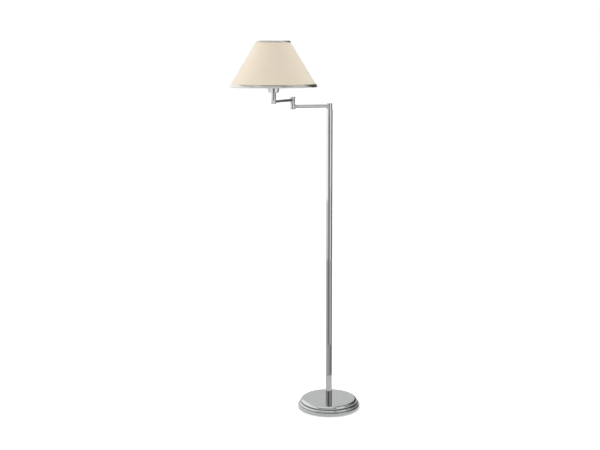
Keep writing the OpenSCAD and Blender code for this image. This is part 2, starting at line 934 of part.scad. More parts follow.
// It leaves the pole's pivot, runs down the arm and turns up through the spindle.
module arm_1_flex() {
    color("whitesmoke") {
        translate([0, 0, pole_pivot_top])
            flex_bend(bend_pole);
        on_arm_1()
            bar(flex_d, bend_pole, arm_1_l - bend_elbow_in);
        at_elbow() {
            translate([0, 0, spindle_z])
                rotate([180, 0, 0])
                    mirror([1, 0, 0])
                        flex_bend(bend_elbow_in);
            bar(flex_d, spindle_z, spindle_top);
        }
    }
}

// ---- second arm ----

module elbow_upper_barrel() {
    body_top = elbow_upper_top - cap_t;
    color("silver")
        difference() {
            at_elbow_turned()
                difference() {
                    turned(elbow_d, elbow_upper_z, body_top, high = false);
                    bar(spindle_d + 2 * running_gap, elbow_upper_z - cut, elbow_floor + cut);
                    bar(elbow_cavity_d, elbow_floor, body_top + cut);
                    stop_groove(elbow_stop_ring_r, elbow_stop_d, elbow_upper_z, elbow_stop_up);
                }
            on_arm_2()
                arm_seat(arm_2_d, arm_2_bore, elbow_cavity_d, elbow_d);
        }
}

module elbow_upper_cap() {
    color("silver")
        at_elbow()
            end_cap(elbow_d, elbow_cavity_d, elbow_upper_top - cap_t, 0);
}

module arm_2_tube() {
    color("silver")
        on_arm_2()
            tube(arm_2_d, arm_2_bore, elbow_cavity_d / 2 + seat_ledge,
                arm_2_l - post_cavity_d / 2 - seat_ledge);
}

module arm_2_elbow_saddle() {
    color("silver")
        on_arm_2()
            saddle(arm_2_d, saddle_2_r, elbow_d);
}

module arm_2_post_saddle() {
    color("silver")
        on_arm_2()
            translate([0, 0, arm_2_l])
                rotate([180, 0, 0])
                    saddle(arm_2_d, saddle_2_r, post_d);
}

module post_barrel() {
    body_z = post_z + cap_t;
    color("silver")
        difference() {
            at_lamp()
                difference() {
                    turned(post_d, body_z, post_top, low = false);
                    bar(post_cavity_d, body_z - cut, post_nipple_z);
                    bar(nipple_d, post_nipple_z - cut, post_top + cut);
                }
            on_arm_2()
                translate([0, 0, arm_2_l])
                    rotate([180, 0, 0])
                        arm_seat(arm_2_d, arm_2_bore, post_cavity_d, post_d);
        }
}

module post_cap() {
    color("silver")
        at_lamp()
            end_cap(post_d, post_cavity_d, post_z + cap_t, 180);
}

module riser() {
    color("silver")
        at_lamp()
            difference() {
                turned(post_d, post_top, cup_z);
                bar(nipple_d + 2 * pass_gap, post_top - cut, cup_z + cut);
            }
}

module post_nipple() {
    color("goldenrod")
        at_lamp()
            tube(nipple_d, nipple_bore, post_nipple_z, post_nipple_top);
}

module post_bush() {
    color("ivory")
        at_lamp()
            tube(nipple_bore, flex_d, post_nipple_top - bush_l, post_nipple_top);
}

// It leaves the spindle, runs down the second arm and climbs the post to the holder's contacts.
module arm_2_flex() {
    color("whitesmoke") {
        at_elbow_turned()
            translate([0, 0, spindle_top])
                flex_bend(bend_elbow_out);
        on_arm_2()
            bar(flex_d, bend_elbow_out, arm_2_l - bend_post);
        at_lamp() {
            rotate([0, 0, arm_2_turn])
                translate([0, 0, post_nipple_z])
                    rotate([180, 0, 0])
                        mirror([1, 0, 0])
                            flex_bend(bend_post);
            bar(flex_d, post_nipple_z, insert_z);
        }
    }
}

// ---- lampholder ----

module holder_cup() {
    bottom_r = cup_bottom_d / 2;
    top_r = cup_top_d / 2;
    wall = cup_t / cos(atan(cup_flare));
    inner_bottom_r = bottom_r + cup_flare * cup_t - wall;
    color("silver")
        at_lamp()
            rotate_extrude()
                polygon([
                    [nipple_d / 2 + pass_gap, cup_z],
                    [bottom_r - chamfer, cup_z],
                    [bottom_r + cup_flare * chamfer, cup_z + chamfer],
                    [top_r, cup_top],
                    [top_r - wall, cup_top],
                    [inner_bottom_r, cup_z + cup_t],
                    [nipple_d / 2 + pass_gap, cup_z + cup_t]
                ]);
}

// A plastic cone inside the cup. The nipple screws into its floor.
module holder_body() {
    wall = (cup_t + cup_gap) / cos(atan(cup_flare));
    bottom_r = cup_bottom_d / 2 + cup_flare * cup_t - wall;
    brim_r = cup_top_d / 2 - wall;
    inside_t = 2;
    color([0.09, 0.09, 0.09])
        at_lamp()
            difference() {
                rotate_extrude()
                    polygon([
                        [0, holder_z],
                        [bottom_r, holder_z],
                        [brim_r, cup_top],
                        [brim_r, skirt_z],
                        [skirt_bore / 2, skirt_z],
                        [bottom_r - inside_t, post_nipple_top],
                        [0, post_nipple_top]
                    ]);
                bar(nipple_d, holder_z - cut, post_nipple_top + cut);
            }
}

// The ceramic disc that carries the contacts, seated in the skirt, with a hole for each wire.
module holder_insert() {
    way_d = 2.5;
    way_x = (contact_d + cap_d) / 4;
    color("white")
        at_lamp()
            difference() {
                bar(skirt_bore, insert_z, insert_top);
                for (side = [-1, 1])
                    translate([side * way_x, 0, 0])
                        bar(way_d, insert_z - cut, insert_top + cut);
            }
}

// The centre contact and the screw shell.
module holder_contacts() {
    color("goldenrod")
        at_lamp() {
            bar(contact_d, insert_top, insert_top + contact_h);
            tube(screw_shell_d, cap_d, insert_top, insert_top + screw_shell_h);
        }
}

module holder_skirt() {
    color([0.09, 0.09, 0.09])
        at_lamp()
            difference() {
                union() {
                    bar(skirt_d, skirt_z, skirt_top);
                    turned(shoulder_d, shoulder_bottom, shoulder_top);
                }
                bar(skirt_bore, skirt_z - cut, skirt_top - shoulder_t);
                bar(screw_shell_d + 2 * pass_gap, skirt_z, skirt_top + cut);
            }
}

// It screws down the skirt onto the carrier's ring, with finger grips round its rim.
module shade_ring() {
    grips = 24;
    grip_d = 2;
    grip_up = 2;
    color([0.09, 0.09, 0.09])
        at_lamp()
            difference() {
                turned(ring_d, ring_z, ring_z + ring_h);
                bar(skirt_d, ring_z - cut, ring_z + ring_h + cut);
                for (i = [0 : grips - 1])
                    rotate([0, 0, i * 360 / grips])
                        translate([ring_d / 2 + grip_d / 4, 0, 0])
                            bar(grip_d, ring_z + grip_up, ring_z + ring_h + cut);
            }
}

// ---- shade ----

// A flat ring on the skirt's shoulder and three spokes down to the lower wire.
module shade_carrier() {
    run = lower_wire_ring_r - spoke_from_r;
    drop = spoke_from_z - lower_wire_z;
    spoke_l = sqrt(run * run + drop * drop);
    tilt = 90 + atan(drop / run);
    color("silver")
        at_lamp()
            difference() {
                union() {
                    bar(carrier_d, carrier_z, ring_z);
                    for (turn = spoke_turns)
                        rotate([0, 0, turn])
                            translate([spoke_from_r, 0, spoke_from_z])
                                rotate([0, tilt, 0])
                                    cylinder(d = wire_d, h = spoke_l);
                }
                bar(carrier_bore, carrier_z - wire_d, ring_z + wire_d);
                bar(ring_d, ring_z, ring_z + ring_h);
                bar(shoulder_d, shoulder_bottom, shoulder_top);
                rotate_extrude()
                    wire_section(lower_wire_up);
            }
}

module shade_lower_wire() {
    color("silver")
        at_lamp()
            rotate_extrude()
                wire_section(lower_wire_up);
}

module shade_upper_wire() {
    color("silver")
        at_lamp()
            rotate_extrude()
                wire_section(slant_l - lower_wire_up);
}

module shade_cloth() {
    color([0.93, 0.89, 0.80])
        at_lamp()
            rotate_extrude()
                on_slant()
                    square([slant_l, cloth_t]);
}

// The laminate, with a shallow bed for each wire.
module shade_liner() {
    color([0.97, 0.96, 0.93])
        at_lamp()
            rotate_extrude()
                difference() {
                    on_slant()
                        translate([0, cloth_t])
                            square([slant_l, liner_t]);
                    wire_section(lower_wire_up);
                    wire_section(slant_l - lower_wire_up);
                }
}

module shade_lower_trim() {
    color("lightgray")
        at_lamp()
            rotate_extrude()
                on_slant()
                    trim_section(lower_trim_h);
}

module shade_upper_trim() {
    color("lightgray")
        at_lamp()
            rotate_extrude()
                on_slant()
                    translate([slant_l, 0])
                        mirror([1, 0])
                            trim_section(upper_trim_h);
}

// ---- bulb ----

// The globe and its neck: the neck's side leaves the cap and meets the globe as a tangent.
module bulb_outline(globe_r, neck_r, neck_z, globe_z) {
    rise = globe_z - neck_z;
    reach = sqrt(rise * rise + neck_r * neck_r);
    turn = acos(globe_r / reach) + atan(neck_r / rise);
    difference() {
        union() {
            translate([0, globe_z])
                circle(r = globe_r);
            polygon([
                [0, neck_z], [neck_r, neck_z],
                [globe_r * sin(turn), globe_z - globe_r * cos(turn)], [0, globe_z]
            ]);
        }
        translate([-2 * globe_r, neck_z - globe_r])
            square([2 * globe_r, 4 * globe_r]);
    }
}

module bulb_globe() {
    globe_r = globe_d / 2;
    neck_r = cap_d / 2;
    globe_z = cap_top + globe_h - globe_r;
    color([0.96, 0.96, 0.94])
        at_lamp()
            rotate_extrude()
                difference() {
                    bulb_outline(globe_r, neck_r, cap_top, globe_z);
                    bulb_outline(globe_r - globe_wall, neck_r - globe_wall, cap_top - cut,
                        globe_z);
                }
}

// The screw cap with its centre contact.
module bulb_cap() {
    color("silver")
        at_lamp() {
            bar(bulb_contact_d, cap_z - bulb_contact_h, cap_z);
            bar(cap_d, cap_z, cap_top);
        }
}

foot_cover();
foot_weight();
felt_pad();
closing_plate();
plate_screws();
cable_grommet();
foot_nipple();
foot_washer();
foot_nut();
terminal_block();
terminal_screw();
pole();
pole_foot_plug();
pole_head();
pole_pivot();
pole_glide_washer();
pole_ring_nut();
pole_stop_pin();
pole_bush();
stand_flex();
pole_knuckle();
knuckle_cap();
arm_1_tube();
arm_1_pole_saddle();
arm_1_elbow_saddle();
elbow_lower_barrel();
elbow_lower_cap();
elbow_spindle();
elbow_glide_washer();
elbow_ring_nut();
elbow_stop_pin();
elbow_bush();
arm_1_flex();
elbow_upper_barrel();
elbow_upper_cap();
arm_2_tube();
arm_2_elbow_saddle();
arm_2_post_saddle();
post_barrel();
post_cap();
riser();
post_nipple();
post_bush();
arm_2_flex();
holder_cup();
holder_body();
holder_insert();
holder_contacts();
holder_skirt();
shade_ring();
shade_carrier();
shade_lower_wire();
shade_upper_wire();
shade_cloth();
shade_liner();
shade_lower_trim();
shade_upper_trim();
bulb_globe();
bulb_cap();
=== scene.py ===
from math import cos, hypot, pi, radians, sin, tau
import bpy
from mathutils import Euler, Matrix, Vector, noise


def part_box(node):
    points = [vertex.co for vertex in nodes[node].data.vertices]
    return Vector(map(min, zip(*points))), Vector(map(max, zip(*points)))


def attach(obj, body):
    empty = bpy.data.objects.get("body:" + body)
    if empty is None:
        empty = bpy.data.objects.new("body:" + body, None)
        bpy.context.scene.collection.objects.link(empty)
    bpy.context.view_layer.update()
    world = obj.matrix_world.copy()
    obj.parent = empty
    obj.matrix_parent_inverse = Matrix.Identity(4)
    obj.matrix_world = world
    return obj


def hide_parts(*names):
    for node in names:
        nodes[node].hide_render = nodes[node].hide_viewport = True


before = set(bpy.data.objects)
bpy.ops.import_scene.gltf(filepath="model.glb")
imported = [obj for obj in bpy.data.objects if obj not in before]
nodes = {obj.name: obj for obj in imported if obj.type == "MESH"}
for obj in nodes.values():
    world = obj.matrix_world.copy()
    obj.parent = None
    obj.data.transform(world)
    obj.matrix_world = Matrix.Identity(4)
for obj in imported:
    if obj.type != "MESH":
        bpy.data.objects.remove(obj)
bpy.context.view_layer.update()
print("frame loaded:", len(nodes), "nodes")

shadeLow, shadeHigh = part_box("shade_cloth")
lampAxis = (shadeLow + shadeHigh) / 2     # the shade, the holder and the bulb stand on this upright axis


def newMaterial(name, roughness, colour=(0.8, 0.8, 0.8), metallic=0.0):
    # a Principled material, and the tree to add detail to
    material = bpy.data.materials.new(name)
    material.use_nodes = True
    tree = material.node_tree
    shader = tree.nodes["Principled BSDF"]
    shader.inputs["Base Color"].default_value = (*colour, 1)
    shader.inputs["Roughness"].default_value = roughness
    shader.inputs["Metallic"].default_value = metallic
    material.diffuse_color = (*colour, 1)
    return material, tree, shader


def place(tree, stretch=(1, 1, 1), attribute=None):
    # where a point lies on its piece, in metres, with each axis stretched
    mapping = tree.nodes.new("ShaderNodeMapping")
    mapping.inputs["Scale"].default_value = stretch
    if attribute:
        source = tree.nodes.new("ShaderNodeAttribute")
        source.attribute_name = attribute
        tree.links.new(source.outputs["Vector"], mapping.inputs["Vector"])
    else:
        source = tree.nodes.new("ShaderNodeTexCoord")
        tree.links.new(source.outputs["Object"], mapping.inputs["Vector"])
    return mapping.outputs["Vector"]


def cloudy(tree, where, scale, detail=4.0, rough=0.55):
    node = tree.nodes.new("ShaderNodeTexNoise")
    node.inputs["Scale"].default_value = scale
    node.inputs["Detail"].default_value = detail
    node.inputs["Roughness"].default_value = rough
    tree.links.new(where, node.inputs["Vector"])
    return node.outputs["Fac"]


def spread(tree, value, low, high, fromLow=0.3, fromHigh=0.7):
    node = tree.nodes.new("ShaderNodeMapRange")
    node.inputs["From Min"].default_value = fromLow
    node.inputs["From Max"].default_value = fromHigh
    node.inputs["To Min"].default_value = low
    node.inputs["To Max"].default_value = high
    tree.links.new(value, node.inputs["Value"])
    return node.outputs["Result"]


def blendColour(tree, factor, first, second):
    node = tree.nodes.new("ShaderNodeMix")
    node.data_type = "RGBA"
    for socket, value in (("A", first), ("B", second)):
        if isinstance(value, tuple):
            node.inputs[socket].default_value = (*value, 1)
        else:
            tree.links.new(value, node.inputs[socket])
    tree.links.new(factor, node.inputs["Factor"])
    return node.outputs["Result"]


def sums(tree, operation, first, second):
    node = tree.nodes.new("ShaderNodeMath")
    node.operation = operation
    for socket, value in zip(node.inputs, (first, second)):
        if isinstance(value, (int, float)):
            socket.default_value = value
        else:
            tree.links.new(value, socket)
    return node.outputs["Value"]


def relief(tree, shader, height, strength, distance):
    node = tree.nodes.new("ShaderNodeBump")
    node.inputs["Strength"].default_value = strength
    node.inputs["Distance"].default_value = distance
    tree.links.new(height, node.inputs["Height"])
    tree.links.new(node.outputs["Normal"], shader.inputs["Normal"])


chromeLook = {
    "colour": (0.60, 0.606, 0.612),
    "dull": (0.56, 0.565, 0.57),       # under a hand's smudges
    "roughness": (0.025, 0.06),
    "smudgeScale": 28.0,
    "smudgeDetail": 6.0,
    "smudgeShare": 0.7,                # of a tube's roughness, and its polishing lines make the rest
    "lineScale": 900.0,
    "lineDetail": 2.0,
    "lineRelief": 0.15,
    "uprightLines": (1, 1, 0.02),      # drawn out along a standing tube
    "levelLines": (0.05, 0.05, 1),     # and along a level one
    "ringScale": 1800.0,
    "ringRelief": 0.12,
    "hairline": 0.00001,
}


def smudgedChrome(name):
    # plated metal with faint hand smudges, before its polishing lines
    look = chromeLook
    material, tree, shader = newMaterial(name, look["roughness"][0], look["colour"], 1.0)
    smudge = cloudy(tree, place(tree), look["smudgeScale"], look["smudgeDetail"])
    colour = blendColour(tree, spread(tree, smudge, 0, 1), look["colour"], look["dull"])
    tree.links.new(colour, shader.inputs["Base Color"])
    return material, tree, shader, smudge


def polishedChrome(name, stretch):
    # a plated tube, with polishing lines along the stretch
    look = chromeLook
    share = look["smudgeShare"]
    material, tree, shader, smudge = smudgedChrome(name)
    lines = cloudy(tree, place(tree, stretch), look["lineScale"], look["lineDetail"])
    mixed = sums(tree, "ADD", sums(tree, "MULTIPLY", smudge, share),
                 sums(tree, "MULTIPLY", lines, 1 - share))
    tree.links.new(spread(tree, mixed, *look["roughness"]), shader.inputs["Roughness"])
    relief(tree, shader, lines, look["lineRelief"], look["hairline"])
    return material


def spunChrome(name):
    # the foot was spun on a lathe, so its polishing lines run round it
    look = chromeLook
    material, tree, shader, smudge = smudgedChrome(name)
    apart = tree.nodes.new("ShaderNodeVectorMath")
    apart.operation = "LENGTH"
    tree.links.new(place(tree, (1, 1, 0)), apart.inputs[0])
    rings = tree.nodes.new("ShaderNodeTexNoise")
    rings.noise_dimensions = "1D"
    rings.inputs["Scale"].default_value = look["ringScale"]
    tree.links.new(apart.outputs["Value"], rings.inputs["W"])
    tree.links.new(spread(tree, smudge, *look["roughness"]), shader.inputs["Roughness"])
    relief(tree, shader, rings.outputs["Fac"], look["ringRelief"], look["hairline"])
    return material


# scale is how fine the stains are, grain how deep the face's grain is, in metres
metals = {
    "castIron": {"colour": (0.05, 0.05, 0.05), "dark": (0.02, 0.02, 0.02),
                 "roughness": (0.5, 0.75), "scale": 90.0, "grain": 0.0005},
    "zincSteel": {"colour": (0.55, 0.56, 0.58), "dark": (0.42, 0.43, 0.46),
                  "roughness": (0.25, 0.4), "scale": 160.0, "grain": 0.00002},
    "brass": {"colour": (0.60, 0.42, 0.17), "dark": (0.45, 0.30, 0.11),
              "roughness": (0.15, 0.3), "scale": 140.0, "grain": 0.00002},
    "capMetal": {"colour": (0.62, 0.62, 0.61), "dark": (0.48, 0.48, 0.47),
                 "roughness": (0.2, 0.35), "scale": 180.0, "grain": 0.00002},
    "trimMetal": {"colour": (0.66, 0.645, 0.61), "dark": (0.58, 0.565, 0.53),
                  "roughness": (0.10, 0.18), "scale": 60.0, "grain": 0.000004},
}
stainSpec = {
    "detail": 6.0,
    "rough": 0.65,
    "grainFiner": 40,          # the grain is this much finer than the stains
    "grainDetail": 3.0,
    "grainRelief": 0.3,
}


def plainMetal(name, look):
    # turned or plated hardware with a stained, slightly grainy face
    material, tree, shader = newMaterial(name, look["roughness"][0], look["colour"], 1.0)
    stain = cloudy(tree, place(tree), look["scale"], stainSpec["detail"], stainSpec["rough"])
    tinted = blendColour(tree, spread(tree, stain, 0, 1), look["colour"], look["dark"])
    tree.links.new(tinted, shader.inputs["Base Color"])
    tree.links.new(spread(tree, stain, *look["roughness"]), shader.inputs["Roughness"])
    grain = cloudy(tree, place(tree), stainSpec["grainFiner"] * look["scale"], stainSpec["grainDetail"])
    relief(tree, shader, grain, stainSpec["grainRelief"], look["grain"])
    return material


mouldings = {
    "nylon": {"colour": (0.80, 0.77, 0.68), "clouded": (0.74, 0.70, 0.60),
              "roughness": 0.4, "scale": 120.0, "grain": 0.00001},
    "insulation": {"colour": (0.78, 0.78, 0.74), "clouded": (0.70, 0.70, 0.66),
                   "roughness": 0.45, "scale": 60.0, "grain": 0.00001},
    "blackPlastic": {"colour": (0.018, 0.018, 0.019), "clouded": (0.030, 0.030, 0.031),
                     "roughness": 0.38, "scale": 70.0, "grain": 0.00003},
    "blackGlass": {"colour": (0.012, 0.012, 0.014), "clouded": (0.020, 0.020, 0.022),
                   "roughness": 0.12, "scale": 90.0, "grain": 0.00001, "coat": 0.6},
    "whitePlastic": {"colour": (0.74, 0.74, 0.71), "clouded": (0.68, 0.68, 0.65),
                     "roughness": 0.4, "scale": 80.0, "grain": 0.00001},
    "ceramic": {"colour": (0.78, 0.76, 0.71), "clouded": (0.70, 0.68, 0.63),
                "roughness": 0.5, "scale": 200.0, "grain": 0.00003, "coat": 0.3},
    "coatedWire": {"colour": (0.74, 0.72, 0.66), "clouded": (0.68, 0.66, 0.60),
                   "roughness": 0.35, "scale": 90.0, "grain": 0.00001, "coat": 0.4},
    "blackLacquer": {"colour": (0.022, 0.022, 0.022), "clouded": (0.035, 0.035, 0.035),
                     "roughness": 0.35, "scale": 40.0, "grain": 0.00002, "coat": 0.3},
    "laminate": {"colour": (0.84, 0.83, 0.79), "clouded": (0.80, 0.79, 0.74),
                 "roughness": 0.5, "scale": 30.0, "grain": 0.00001},
    "opalGlass": {"colour": (0.88, 0.88, 0.86), "clouded": (0.85, 0.85, 0.83),
                  "roughness": 0.12, "scale": 25.0, "grain": 0.000002, "coat": 0.5},
    "felt": {"colour": (0.030, 0.036, 0.032), "clouded": (0.055, 0.060, 0.055),
             "roughness": 0.95, "scale": 700.0, "grain": 0.0003},
}
mouldingSpec = {
    "duller": 1.25,            # how much rougher a clouded patch is
    "coatRoughness": 0.15,
    "grainScale": 2600.0,
    "grainDetail": 2.0,
    "grainRelief": 0.4,
}


def moulded(name, look):
    # plastic, lacquer, glass, ceramic or felt: a fine grain and a little cloudiness
    material, tree, shader = newMaterial(name, look["roughness"], look["colour"])
    patch = cloudy(tree, place(tree), look["scale"])
    tinted = blendColour(tree, spread(tree, patch, 0, 1), look["colour"], look["clouded"])
    tree.links.new(tinted, shader.inputs["Base Color"])
    rough = spread(tree, patch, look["roughness"], mouldingSpec["duller"] * look["roughness"])
    tree.links.new(rough, shader.inputs["Roughness"])
    shader.inputs["Coat Weight"].default_value = look.get("coat", 0.0)
    shader.inputs["Coat Roughness"].default_value = mouldingSpec["coatRoughness"]
    grain = cloudy(tree, place(tree), mouldingSpec["grainScale"], mouldingSpec["grainDetail"])
    relief(tree, shader, grain, mouldingSpec["grainRelief"], look["grain"])
    return material


clothLook = {
    "warp": (0.855, 0.758, 0.606),
    "weft": (0.790, 0.686, 0.534),
    "slub": (0.895, 0.802, 0.664),
    "threads": 2200.0,         # to the metre, each way
    "slubAlong": 30,           # the thick places in the yarn, to the metre along a thread
    "slubAcross": 1100,        # and across the threads
    "slubDetail": 3.0,
    "slubShare": 0.6,
    "slubFrom": (0.5, 0.75),
    "weaveHeight": 0.5,        # beside the yarn's thick places
    "relief": 0.5,
    "threadDepth": 0.0001,
    "roughness": 0.9,
    "sheen": 0.9,
    "sheenRoughness": 0.35,
}


def wovenCloth(name):
    # plain weave drawn on the flat cut, so the grain turns round the cone as real cloth does
    look = clothLook
    material, tree, shader = newMaterial(name, look["roughness"], look["warp"])
    apart = tree.nodes.new("ShaderNodeSeparateXYZ")
    tree.links.new(place(tree, attribute="flatCut"), apart.inputs["Vector"])
    step = tau * look["threads"] / 2           # one wave to two threads
    waveX = sums(tree, "SINE", sums(tree, "MULTIPLY", apart.outputs["X"], step), 0)
    waveY = sums(tree, "SINE", sums(tree, "MULTIPLY", apart.outputs["Y"], step), 0)
    over = sums(tree, "MULTIPLY", waveX, waveY)
    along, across = look["slubAlong"], look["slubAcross"]
    slubX = cloudy(tree, place(tree, (along, across, 1), "flatCut"), 1.0, look["slubDetail"])
    slubY = cloudy(tree, place(tree, (across, along, 1), "flatCut"), 1.0, look["slubDetail"])
    yarn = sums(tree, "MAXIMUM", slubX, slubY)
    weave = blendColour(tree, spread(tree, over, 0, 1, -1, 1), look["warp"], look["weft"])
    thick = spread(tree, yarn, 0, look["slubShare"], *look["slubFrom"])
    tree.links.new(blendColour(tree, thick, weave, look["slub"]), shader.inputs["Base Color"])
    shader.inputs["Sheen Weight"].default_value = look["sheen"]
    shader.inputs["Sheen Roughness"].default_value = look["sheenRoughness"]
    raised = sums(tree, "ADD", sums(tree, "MULTIPLY", over, look["weaveHeight"]), yarn)
    relief(tree, shader, raised, look["relief"], look["threadDepth"])
    return material


finishes = {
    "spunChrome": spunChrome("spunChrome"),
    "uprightChrome": polishedChrome("uprightChrome", chromeLook["uprightLines"]),
    "levelChrome": polishedChrome("levelChrome", chromeLook["levelLines"]),
}
for name, look in metals.items():
    finishes[name] = plainMetal(name, look)
for name, look in mouldings.items():
    finishes[name] = moulded(name, look)
finishes["wovenCloth"] = wovenCloth("wovenCloth")
print("finishes made:", len(finishes))

nodeFinish = {
    "spunChrome": ["foot_cover"],
    "uprightChrome": ["pole", "pole_head", "pole_knuckle", "knuckle_cap", "elbow_lower_barrel",
                      "elbow_lower_cap", "elbow_upper_barrel", "elbow_upper_cap", "post_barrel",
                      "post_cap", "riser", "holder_cup"],
    "levelChrome": ["arm_1_tube", "arm_2_tube", "arm_1_pole_saddle", "arm_1_elbow_saddle",
                    "arm_2_elbow_saddle", "arm_2_post_saddle"],
    "castIron": ["foot_weight"],
    "zincSteel": ["plate_screws", "foot_washer", "foot_nut", "terminal_screw", "pole_pivot",
                  "pole_stop_pin", "elbow_spindle", "elbow_stop_pin"],
    "brass": ["foot_nipple", "pole_foot_plug", "pole_ring_nut", "elbow_ring_nut", "post_nipple",
              "holder_contacts"],
    "capMetal": ["bulb_cap"],
    "trimMetal": ["shade_lower_trim", "shade_upper_trim"],
    "nylon": ["pole_glide_washer", "elbow_glide_washer", "pole_bush", "elbow_bush", "post_bush"],
    "insulation": ["stand_flex", "arm_1_flex", "arm_2_flex"],
    "blackPlastic": ["cable_grommet", "holder_body", "holder_skirt", "shade_ring"],
    "whitePlastic": ["terminal_block"],
    "ceramic": ["holder_insert"],
    "coatedWire": ["shade_carrier", "shade_lower_wire", "shade_upper_wire"],
    "blackLacquer": ["closing_plate"],
    "laminate": ["shade_liner"],
    "opalGlass": ["bulb_globe"],
    "felt": ["felt_pad"],
    "wovenCloth": ["shade_cloth"],
}
for finish, names in nodeFinish.items():
    for name in names:
        nodes[name].material_slots[0].material = finishes[finish]


sharpAngle = 38      # degrees: the faces on either side of a sharper edge aren't smoothed together


def smooth(value):
    # a soft step from 0 to 1
    value = min(1.0, max(0.0, value))
    return value * value * (3 - 2 * value)


def arc(start, end, steps):
    # angles from start to end, both given in degrees
    return [radians(start + (end - start) * i / steps) for i in range(steps + 1)]


def addPiece(name, verts, faces, finish, body, replaced=()):
    mesh = bpy.data.meshes.new(name)
    mesh.from_pydata(verts, [], faces)
    mesh.validate()
    return dress(bpy.data.objects.new(name, mesh), finish, body, replaced)


def dress(piece, finish, body, replaced):
    mesh = piece.data
    mesh.shade_smooth()
    mesh.set_sharp_from_angle(angle=radians(sharpAngle))
    mesh.materials.clear()
    mesh.materials.append(finishes[finish])
    bpy.context.scene.collection.objects.link(piece)
    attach(piece, body)
    if replaced:
        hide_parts(*replaced)
    return piece


def shellRound(turns, rows, spot, closed):
    # a thin shell round the lamp's axis: spot gives radius and height, for side 0 or 1, a turn and a row
    verts = []
    for side in (0, 1):
        for turn in turns:
            for row in range(rows):
                r, z = spot(side, turn, row)
                verts.append((lampAxis.x + r * cos(turn), lampAxis.y + r * sin(turn), z))
    columns = len(turns)
    inside = columns * rows
    faces = []
    for i in range(columns if closed else columns - 1):
        a, b = i * rows, (i + 1) % columns * rows
        c, d = a + inside, b + inside
        for j in range(rows - 1):
            faces.append((a + j, b + j, b + j + 1, a + j + 1))
            faces.append((d + j, c + j, c + j + 1, d + j + 1))
        faces.append((c, d, b, a))
        faces.append((a + rows - 1, b + rows - 1, d + rows - 1, c + rows - 1))
    if not closed:
        last = inside - rows
        for j in range(rows - 1):
            faces.append((j, j + 1, inside + j + 1, inside + j))
            faces.append((last + j + 1, last + j, inside + last + j, inside + last + j + 1))
    return verts, faces


def turned(profile, columns, bend=None):
    # a solid turned round the lamp's axis: its profile is a loop, or runs from the axis to the axis
    loop = profile[0][0] > 0
    points = profile if loop else profile[1:-1]
    count = len(points)
    verts, faces = [], []
    for i in range(columns):
        angle = i * tau / columns
        for r, z in points:
            reach = bend(r, z, angle) if bend else r
            verts.append((lampAxis.x + reach * cos(angle), lampAxis.y + reach * sin(angle), z))
    if not loop:
        verts += [(lampAxis.x, lampAxis.y, profile[0][1]), (lampAxis.x, lampAxis.y, profile[-1][1])]
    for i in range(columns):
        a, b = i * count, (i + 1) % columns * count
        for j in range(count if loop else count - 1):
            k = (j + 1) % count
            faces.append((a + j, b + j, b + k, a + k))
        if not loop:
            faces.append((columns * count, b, a))
            faces.append((columns * count + 1, a + count - 1, b + count - 1))
    return verts, faces


shadeSpec = {
    "bottomRadius": 0.1625,
    "topRadius": 0.061,
    "segments": 288,
    "rows": 90,
    "lapTurn": 73.0,           # the shade's joints are at the back
    "seam": 0.0004,            # radians between the two sides of a joint
}
clothSpec = {
    "thickness": 0.0004,
    "hemHeight": 0.015,        # the cloth is folded back this far at both edges
    "hemStep": 0.0003,
    "hemRamp": 0.0006,
    "lapWidth": 0.012,
    "lapSteep": 4,             # the lap rises over a fourth of its width
    "waviness": 0.00015,
    "wavesRound": 3,
    "wavesUp": 14,
    "calmEdge": 0.02,          # the waves fade out this near to an edge
}

shadeRise = shadeHigh.z - shadeLow.z
shadeDrop = shadeSpec["bottomRadius"] - shadeSpec["topRadius"]
slantLength = hypot(shadeRise, shadeDrop)


def slantPoint(up, out):
    # radius and height of a point up the slant from the lower edge, and out from the cloth's face
    share = up / slantLength
    return (shadeSpec["bottomRadius"] - shadeDrop * share + out * shadeRise / slantLength,
            shadeLow.z + shadeRise * share + out * shadeDrop / slantLength)


def shadeTurns(spec):
    # even turns from the joint round to just before it
    start, segments = radians(spec["lapTurn"]), spec["segments"]
    return [start + i * tau / segments for i in range(segments)] + [start + tau - spec["seam"]]


def shadeCloth(spec, cloth):
    # the cream cloth, with a hem at both edges and a lap at its joint
    start = radians(spec["lapTurn"])
    apex = spec["bottomRadius"] * slantLength / shadeDrop   # from the lower edge to the cone's point
    fan = shadeDrop / slantLength                           # the flat cut's turn for one turn of the cone
    lap = cloth["lapWidth"] / spec["bottomRadius"]
    ramp = cloth["hemRamp"] / 2
    ups = [slantLength * j / spec["rows"] for j in range(spec["rows"] + 1)]
    for edge in (cloth["hemHeight"], slantLength - cloth["hemHeight"]):
        ups += [edge - ramp, edge + ramp]
    ups.sort()

    def spot(side, turn, row):
        up = ups[row]
        if side:
            return slantPoint(up, -cloth["thickness"])
        edge = min(up, slantLength - up)
        out = cloth["hemStep"] * smooth((cloth["hemHeight"] + ramp - edge) / cloth["hemRamp"])
        out += cloth["thickness"] * smooth((turn - start - tau + lap) / lap * cloth["lapSteep"])
        around = cloth["wavesRound"]
        where = Vector((around * cos(turn), around * sin(turn), up * cloth["wavesUp"]))
        out += cloth["waviness"] * noise.noise(where) * smooth(edge / cloth["calmEdge"])
        return slantPoint(up, out)

    turns = shadeTurns(spec)
    verts, faces = shellRound(turns, len(ups), spot, True)
    piece = addPiece("shade_fabric", verts, faces, "wovenCloth", "second_arm",
                     ["shade_cloth"])
    flat = [((apex - up) * cos((turn - start) * fan), (apex - up) * sin((turn - start) * fan), 0)
            for turn in turns for up in ups]
    attribute = piece.data.attributes.new("flatCut", "FLOAT_VECTOR", "POINT")
    attribute.data.foreach_set("vector", [value for point in flat + flat for value in point])


